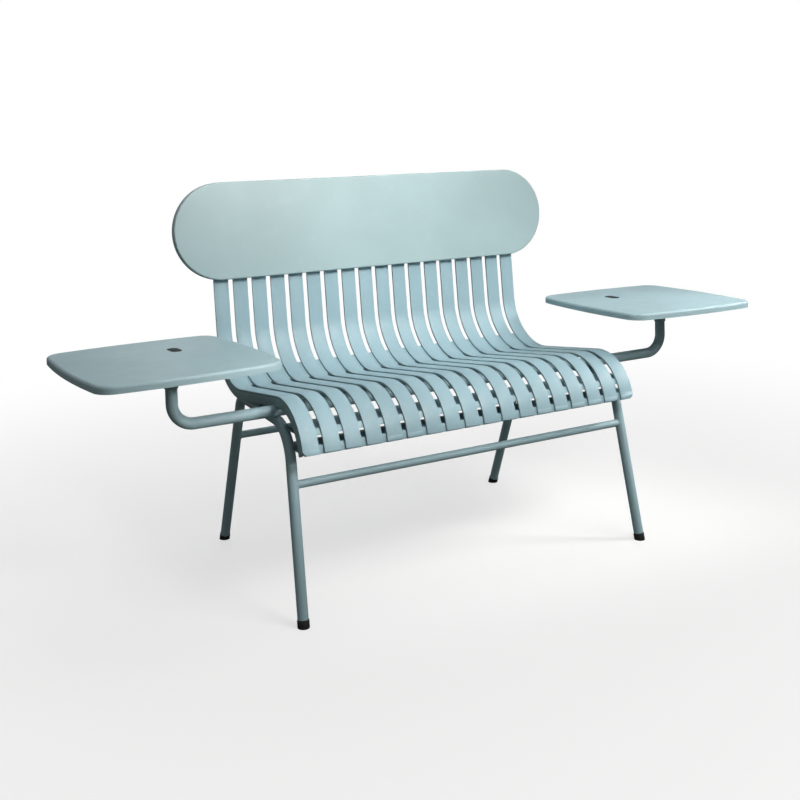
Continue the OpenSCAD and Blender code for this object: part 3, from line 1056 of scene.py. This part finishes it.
@dataclass(frozen=True)
class TableInlay:
    """The blank oblong inlay of a table, which stands a little proud of the sheet."""

    table: SideTable
    across: float = 0.0258
    length: float = 0.0498
    offset: tuple[float, float] = (-0.055, 0.069)
    sunk: float = 0.0005
    proud: float = 0.0006
    edge: float = 0.0004
    edge_segments: int = 3
    end_steps: int = 24

    def build(self, finishes: Finishes, dresser: Dresser) -> None:
        """Build the inlay.

        Args:
            finishes: The bench's materials.
            dresser: Finishes the meshes.
        """
        radius = self.across / 2
        straight = self.length - self.across
        outline = Outline(Vector((radius, -straight / 2, 0)))
        outline.line(Vector((0, straight, 0)))
        outline.arc(Vector((0, straight / 2, 0)), math.pi, self.end_steps)
        outline.line(Vector((0, -straight, 0)))
        outline.arc(Vector((0, -straight / 2, 0)), math.pi, self.end_steps)
        mesh = outline.close()
        bmesh.ops.translate(mesh, verts=mesh.verts, vec=(0, 0, -self.sunk))
        raised = bmesh.ops.extrude_face_region(mesh, geom=mesh.faces[:], use_keep_orig=True)["geom"]
        bmesh.ops.translate(mesh, verts=points_of(raised), vec=(0, 0, self.sunk + self.proud))
        rim = [edge for edge in mesh.edges if all(vert.co.z > 0 for vert in edge.verts)]
        round_edges(mesh, rim, self.edge, self.edge_segments)
        bmesh.ops.recalc_face_normals(mesh, faces=mesh.faces)
        side = self.table.side
        out, back = self.offset
        place = self.table.placement() @ Matrix.Translation((out * side.value, back, 0))
        bmesh.ops.transform(mesh, matrix=place, verts=mesh.verts)
        dresser.add_piece(f"{side.word}_inlay_plate", mesh, finishes.inlay,
                          [f"{side.word}_table_inlay"])


@dataclass(frozen=True)
class ButtonHead:
    """A button-head screw with a six-sided socket and a plain shank, its seat at z = 0."""

    head_radius: float
    head_height: float
    socket_radius: float
    shank_radius: float
    shank_length: float
    flat_share: float = 1.35
    dome_share: float = 0.86
    socket_share: float = 0.6
    socket_sides: int = 6
    dome_steps: int = 6
    steps: int = 32

    def add_to(self, mesh: Mesh, place: Matrix) -> None:
        """Add one screw to a mesh.

        Args:
            mesh: Mesh that gets it.
            place: Where its seat lies and which way its head points.
        """
        span = self.head_radius - self.socket_radius * self.flat_share
        rise = self.head_height * self.dome_share
        profile = Outline(Vector((0, 0, -self.shank_length)))
        profile.line(Vector((self.shank_radius, 0, 0)))
        profile.line(Vector((0, 0, self.shank_length)))
        profile.line(Vector((self.head_radius - self.shank_radius, 0, 0)))
        profile.line(Vector((0, 0, self.head_height - rise)))
        for part in range(self.dome_steps):
            before, turn = (step * math.pi / (2 * self.dome_steps) for step in (part, part + 1))
            profile.line(Vector((span * (math.cos(turn) - math.cos(before)), 0,
                                 rise * (math.sin(turn) - math.sin(before)))))
        drawn = profile.mesh
        bmesh.ops.spin(drawn, geom=drawn.verts[:] + drawn.edges[:], cent=(0, 0, 0), axis=(0, 0, 1),
                       angle=2 * math.pi, steps=self.steps, use_merge=True)
        bmesh.ops.remove_doubles(drawn, verts=drawn.verts, dist=SAME_POINT)
        rim = [edge for edge in drawn.edges if edge.is_boundary]
        socket = bmesh.ops.create_circle(drawn, segments=self.socket_sides, radius=self.socket_radius,
                                         matrix=Matrix.Translation((0, 0, self.head_height)))["verts"]
        hexagon = list({edge for vert in socket for edge in vert.link_edges})
        bmesh.ops.bridge_loops(drawn, edges=rim + hexagon)
        sunk = bmesh.ops.extrude_edge_only(drawn, edges=hexagon)["geom"]
        low = points_of(sunk)
        bmesh.ops.translate(drawn, verts=low, vec=(0, 0, -self.head_height * self.socket_share))
        bmesh.ops.contextual_create(drawn, geom=low)
        add_mesh(mesh, drawn, place)


@dataclass(frozen=True)
class PanelBolts:
    """The button-head bolts that hold slats and panel together, their heads behind the slats."""

    panel: BackPanel
    slat_pitch: float = 0.051
    slat_thickness: float = 0.005
    middle_slat: float = 9.5
    row_share: float = 1 / 6
    slats: tuple[int, ...] = (1, 5, 9, 10, 14, 18)
    bolt: ButtonHead = ButtonHead(head_radius=0.006, head_height=0.0034, socket_radius=0.0022,
                                  shank_radius=0.0029, shank_length=0.0125)

    def build(self, finishes: Finishes, dresser: Dresser) -> None:
        """Build the bolts.

        Args:
            finishes: The bench's materials.
            dresser: Finishes the meshes.
        """
        mesh = bmesh.new()
        behind = Matrix.Translation((0, 0, -self.panel.depth - self.slat_thickness))
        face = self.panel.placement() @ behind
        turned = Matrix.Rotation(math.pi, 4, "X")
        rise = self.panel.height * self.row_share
        for slat in self.slats:
            along = (slat - self.middle_slat) * self.slat_pitch
            for up in (-rise, rise):
                self.bolt.add_to(mesh, face @ Matrix.Translation((along, up, 0)) @ turned)
        dresser.add_piece("panel_bolt_heads", mesh, finishes.fasteners,
                          ["panel_bolts"])


@dataclass(frozen=True)
class TableStem:
    """Where the upright ends of the table tube meet the flanges."""

    out: float = 0.684
    back: float = 0.018 - CREST_TO_FRAME
    height: float = 0.555

    def flange(self, side: Side) -> Matrix:
        """Place the middle of one flange's underside."""
        return Matrix.Translation((side.value * self.out, self.back, self.height))


@dataclass(frozen=True)
class TableScrews:
    """The screws that hold the flanges to the plates under the tables."""

    stem: TableStem = TableStem()
    per_flange: int = 4
    circle: float = 0.040
    screw: ButtonHead = ButtonHead(head_radius=0.005, head_height=0.0029, socket_radius=0.0018,
                                   shank_radius=0.0024, shank_length=0.0100)

    def build(self, finishes: Finishes, dresser: Dresser) -> None:
        """Build the screws.

        Args:
            finishes: The bench's materials.
            dresser: Finishes the meshes.
        """
        mesh = bmesh.new()
        down = Matrix.Rotation(math.pi, 4, "X")
        for side in Side:
            for number in range(self.per_flange):
                turn = (number + 0.5) * 2 * math.pi / self.per_flange
                spot = (self.circle * math.cos(turn), self.circle * math.sin(turn), 0)
                self.screw.add_to(mesh, self.stem.flange(side) @ Matrix.Translation(spot) @ down)
        dresser.add_piece("table_screw_heads", mesh, finishes.fasteners,
                          ["table_screws"])


@dataclass(frozen=True)
class WeldBead:
    """A rippled ring of weld, bent to a tube with the saddle's radius, or flat if that is 0."""

    major: float
    minor: float
    saddle: float
    ripples: int = 26
    ripple_share: float = 0.035
    facets: int = 10
    steps: int = 104

    def add_to(self, mesh: Mesh, place: Matrix) -> None:
        """Add one bead to a mesh.

        Args:
            mesh: Mesh that gets it.
            place: Centre of the joint, with z along the tube towards what it meets and y
                along the saddle.
        """
        ring = bmesh.new()
        section = Matrix.Translation((self.major, 0, 0)) @ Matrix.Rotation(math.pi / 2, 4, "X")
        made = bmesh.ops.create_circle(ring, segments=self.facets, radius=self.minor,
                                       matrix=section)["verts"]
        loop = list({edge for vert in made for edge in vert.link_edges})
        bmesh.ops.spin(ring, geom=made + loop, cent=(0, 0, 0), axis=(0, 0, 1), angle=2 * math.pi,
                       steps=self.steps, use_merge=True)
        bmesh.ops.remove_doubles(ring, verts=ring.verts, dist=SAME_POINT)
        for vert in ring.verts:
            turn = math.atan2(vert.co.y, vert.co.x)
            swell = 1 + self.ripple_share * math.cos(self.ripples * turn)
            vert.co.x *= swell
            vert.co.y *= swell
            if self.saddle:
                reach = min(vert.co.x, self.saddle)
                vert.co.z += self.saddle - math.sqrt(self.saddle ** 2 - reach ** 2)
        add_mesh(mesh, ring, place)


@dataclass(frozen=True)
class Welds:
    """The beads at the stretchers' ends and under the tables' flanges.

    The leans are those of the legs where the stretchers meet them, in degrees.
    """

    leg_radius: float = 0.012
    stretcher_radius: float = 0.009
    size: float = 0.0016
    clearance: float = 0.0003
    stem: TableStem = TableStem()
    sleeve_radius: float = 0.015
    sleeve_length: float = 0.040
    sleeve_share: float = 1.2
    stem_inset: float = 0.0012
    stem_share: float = 0.8
    leans: tuple[tuple[str, float], ...] = (("front_stretcher", 11.1), ("rear_stretcher", -22.5))

    def build(self, nodes: Nodes, finishes: Finishes, dresser: Dresser) -> None:
        """Build the beads.

        Args:
            nodes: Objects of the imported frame.
            finishes: The bench's materials.
            dresser: Finishes the meshes.
        """
        mesh = bmesh.new()
        saddled = WeldBead(self.stretcher_radius + self.clearance, self.size, self.leg_radius)
        bulge = self.leg_radius - math.sqrt(self.leg_radius ** 2 - self.stretcher_radius ** 2)
        for name, lean in self.leans:
            corners = [Vector(corner) for corner in nodes[name].bound_box]
            low = Vector(min(corner[axis] for corner in corners) for axis in range(3))
            high = Vector(max(corner[axis] for corner in corners) for axis in range(3))
            middle = (low + high) / 2
            for side in Side:
                end = Vector((side.value * (high.x - bulge), middle.y, middle.z))
                along = Vector((side.value, 0, 0))
                up = Matrix.Rotation(-math.radians(lean), 3, "X") @ Vector((0, 0, 1))
                across = up.cross(along)
                matrix = Matrix((across, up, along)).transposed().to_4x4()
                matrix.translation = end
                saddled.add_to(mesh, matrix)
        upper = WeldBead(self.sleeve_radius + self.clearance, self.size * self.sleeve_share, 0.0)
        lower = WeldBead(self.sleeve_radius - self.stem_inset, self.size * self.stem_share, 0.0)
        for side in Side:
            flange = self.stem.flange(side)
            upper.add_to(mesh, flange)
            lower.add_to(mesh, flange @ Matrix.Translation((0, 0, -self.sleeve_length)))
        dresser.add_piece("weld_beads", mesh, finishes.frame)


def main() -> None:
    """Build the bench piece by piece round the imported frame."""
    logging.basicConfig(level=logging.INFO, format="%(name)s: %(message)s")
    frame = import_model()
    nodes = frame["nodes"]
    bpy.context.scene.view_settings.view_transform = "Standard"
    PhotoCamera().build()
    Studio().build()
    finishes = Finishes()
    dresser = Dresser()
    SlattedSeat().build(nodes, finishes, dresser)
    panel = BackPanel()
    panel.build(finishes, dresser)
    PanelBolts(panel).build(finishes, dresser)
    Supports().build(nodes, finishes, dresser)
    for side in Side:
        table = SideTable(side)
        table.build(finishes, dresser)
        TableInlay(table).build(finishes, dresser)
    TableScrews().build(finishes, dresser)
    Welds().build(nodes, finishes, dresser)


if __name__ == "__main__":
    main()
